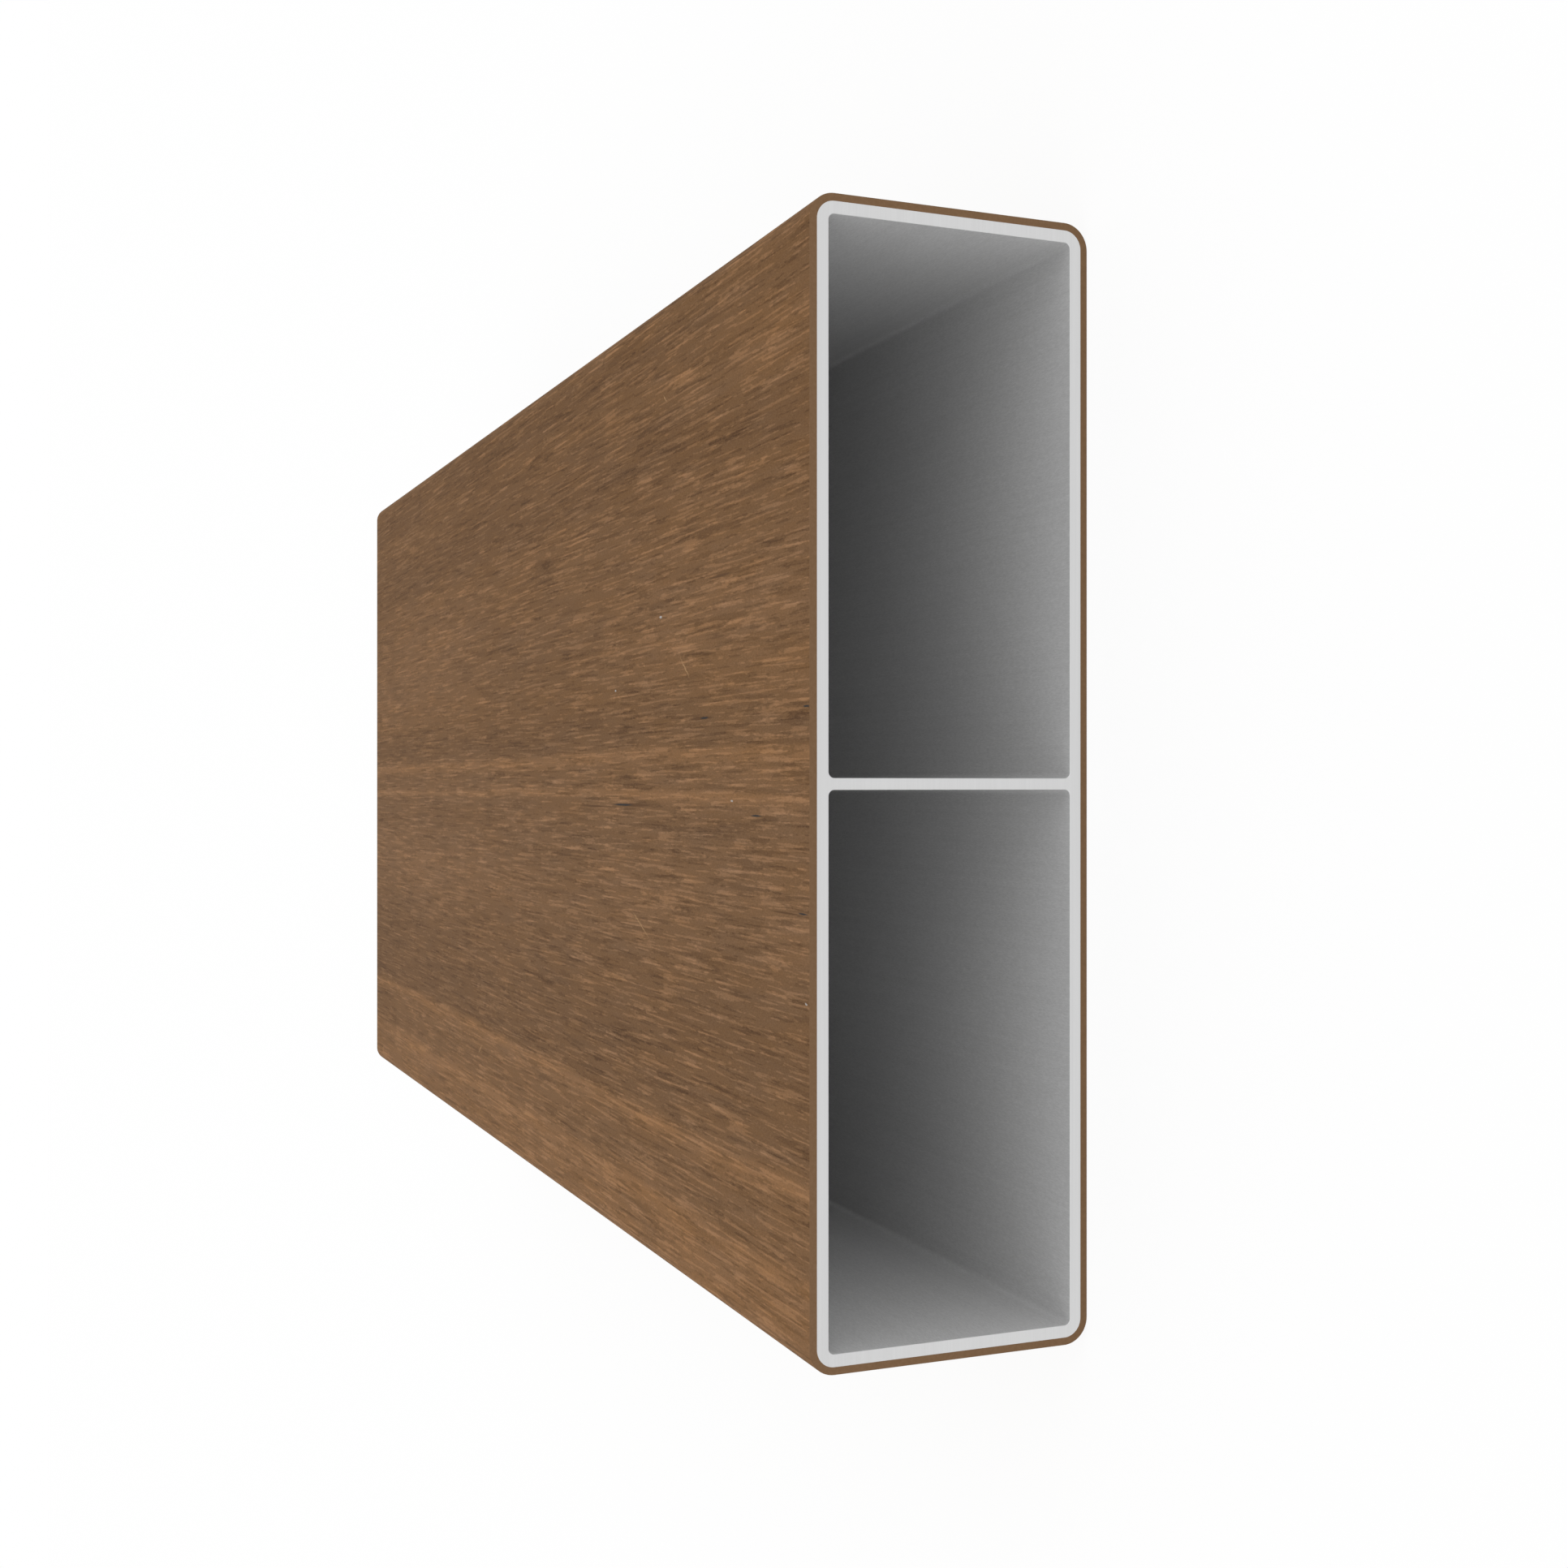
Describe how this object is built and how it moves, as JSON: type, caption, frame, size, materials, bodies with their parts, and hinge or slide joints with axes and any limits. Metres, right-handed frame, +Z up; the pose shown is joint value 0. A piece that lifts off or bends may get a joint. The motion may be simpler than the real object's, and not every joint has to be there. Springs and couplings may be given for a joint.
{
  "type": "aluminium decking board",
  "caption": "Flat hollow decking board: a rectangular aluminium extrusion with a centre web, wrapped on all sides in a thin wood-grain skin and sawn square at both ends.",
  "frame": {"origin": "middle of the underside, which is the broad face that the board lies on", "axes": "+X across the board's width, +Y along its length, +Z up through its thickness"},
  "size_m": [0.148, 0.294, 0.04],
  "materials": {
    "mill_aluminium": "satin",
    "woodgrain_skin": "matte"
  },
  "bodies": {
    "root": {"aluminium_core": "mill_aluminium", "woodgrain_skin": "woodgrain_skin"}
  },
  "joints": []
}
